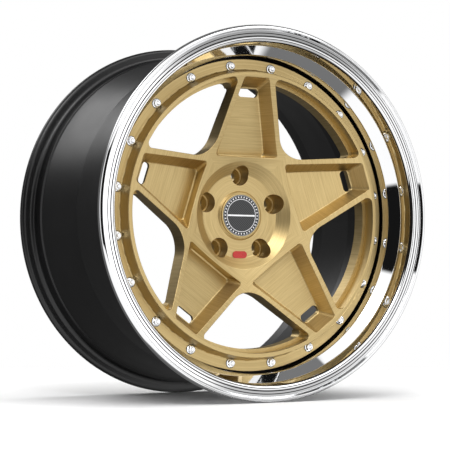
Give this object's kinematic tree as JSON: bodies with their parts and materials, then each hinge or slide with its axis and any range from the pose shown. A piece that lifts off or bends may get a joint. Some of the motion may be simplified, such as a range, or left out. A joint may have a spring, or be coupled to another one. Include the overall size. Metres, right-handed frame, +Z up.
{
  "type": "racing wheel rim",
  "caption": "Forged three-piece five-spoke racing wheel rim with a bolted gold centre, a stepped polished outer lip, a black inner barrel, a tyre valve and a snap-in centre cap.",
  "frame": {"origin": "on the wheel's axis, midway between the outer edges of the two rim flanges", "axes": "+Y along the wheel's axis towards the vehicle, so the street face looks along -Y; +Z up through one spoke; +X to the right seen from the street side"},
  "size_m": [0.548, 0.295, 0.548],
  "materials": {
    "gold_forging": "satin",
    "polished_lip": "polished",
    "satin_black_barrel": "satin",
    "sealant": "matte",
    "bolt_steel": "polished",
    "gold_cap": "satin",
    "emblem_black": "gloss",
    "spring_steel": "satin",
    "badge_red": "gloss",
    "valve_metal": "satin",
    "valve_rubber": "matte",
    "core_brass": "satin",
    "valve_cap_metal": "satin"
  },
  "bodies": {
    "wheel": {"centre_disc": "gold_forging", "outer_lip": "polished_lip", "inner_barrel": "satin_black_barrel", "rim_sealant": "sealant", "assembly_bolts": "bolt_steel", "assembly_nuts": "bolt_steel", "hub_badge": "badge_red", "valve_stem": "valve_metal", "valve_grommet": "valve_rubber", "valve_washer": "valve_metal", "valve_nut": "valve_metal", "valve_core_body": "core_brass", "valve_core_spring": "spring_steel"},
    "centre_cap": {"cap_body": "gold_cap", "cap_emblem": "emblem_black", "cap_spring_ring": "spring_steel"},
    "valve_cap_lift": {"valve_cap_gasket": "valve_rubber"},
    "valve_cap": {"valve_cap": "valve_cap_metal"},
    "valve_pin": {"valve_core_pin": "core_brass", "valve_core_seal": "valve_rubber"}
  },
  "joints": [
    {"name": "centre_cap_pull", "type": "slide", "parent": "wheel", "child": "centre_cap", "axis": [0, -1, 0], "range_m": [0, 0.026]},
    {"name": "valve_cap_lift", "type": "slide", "parent": "wheel", "child": "valve_cap_lift", "axis": [0, 0, 1], "range_m": [0, 0.00556]},
    {"name": "valve_cap_turn", "type": "hinge", "parent": "valve_cap_lift", "child": "valve_cap", "pos_m": [0, -0.045, -0.2], "axis": [0, 0, 1], "range_deg": [0, 2525]},
    {"name": "valve_pin_press", "type": "slide", "parent": "wheel", "child": "valve_pin", "axis": [0, 0, -1], "range_m": [0, 0.0012], "stiffness_N_per_m": 400, "springref_m": -0.003, "deforming": ["valve_core_spring"]}
  ],
  "couplings": [
    {"joint": "valve_cap_turn", "follows": "valve_cap_lift", "rad_per_m": 7913.3}
  ]
}
